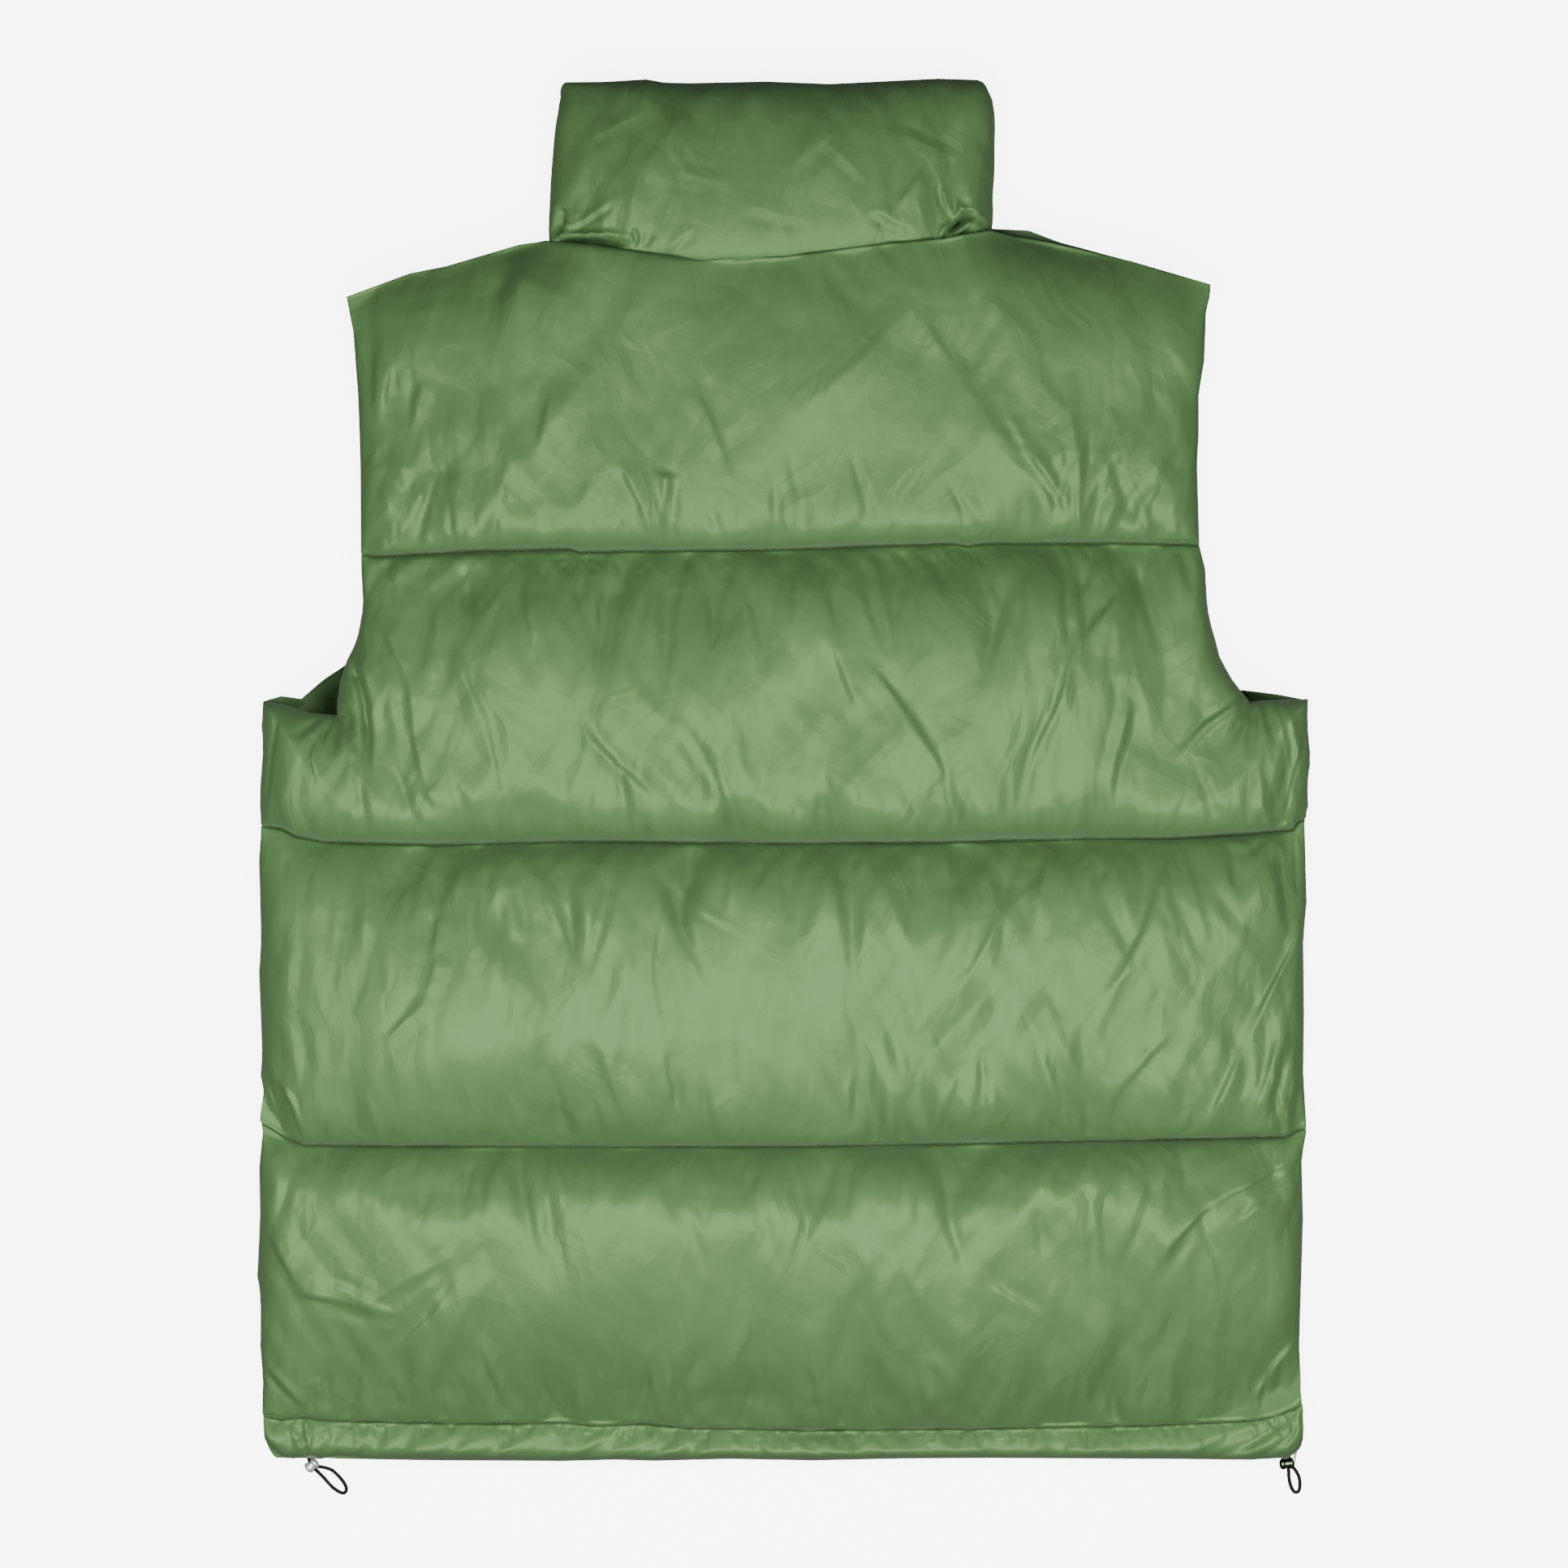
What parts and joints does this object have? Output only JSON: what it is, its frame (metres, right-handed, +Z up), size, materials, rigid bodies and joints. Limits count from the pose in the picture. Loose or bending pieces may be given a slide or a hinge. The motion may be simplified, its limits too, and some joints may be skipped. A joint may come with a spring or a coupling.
{
  "type": "puffer vest",
  "caption": "Sleeveless padded vest in glossy green nylon, with wide quilted baffles, a tall stand collar, a front zip and a drawcord hem, laid flat with its back up.",
  "frame": {"origin": "the middle of the flat underside, where the vest's two fronts lie on the surface; the cords at the hem are left out of the measure", "axes": "+X from the vest's left edge to its right edge as it lies, +Y from the hem to the collar, +Z up from the surface to the back, which lies on top"},
  "size_m": [0.5819, 0.784, 0.0925],
  "materials": {
    "nylon": "glossy green nylon over soft filling",
    "zip_tape": "woven green zip tape",
    "zip_teeth": "dark green moulded teeth",
    "metal": "polished",
    "elastic": "black braided elastic",
    "tab": "grey woven ribbon"
  },
  "bodies": {
    "vest": {"back": "nylon", "front_left": "nylon", "front_right": "nylon", "hem_back": "nylon", "hem_front_left": "nylon", "hem_front_right": "nylon", "collar": "nylon", "zip_tape_left": "zip_tape", "zip_tape_right": "zip_tape", "zip_chain": "zip_teeth", "zip_retainer": "zip_teeth", "zip_slider": "metal", "cord_lock_left": "metal", "cord_lock_right": "metal", "cord_loop_left": "elastic", "cord_loop_right": "elastic", "lock_tab_right": "tab"},
    "pull": {"zip_pull": "metal"}
  },
  "joints": [
    {"name": "pull_hinge", "type": "hinge", "parent": "vest", "child": "pull", "pos_m": [0, 0.3607, 0.01778], "axis": [1, 0, 0], "range_deg": [-50, 120]}
  ]
}
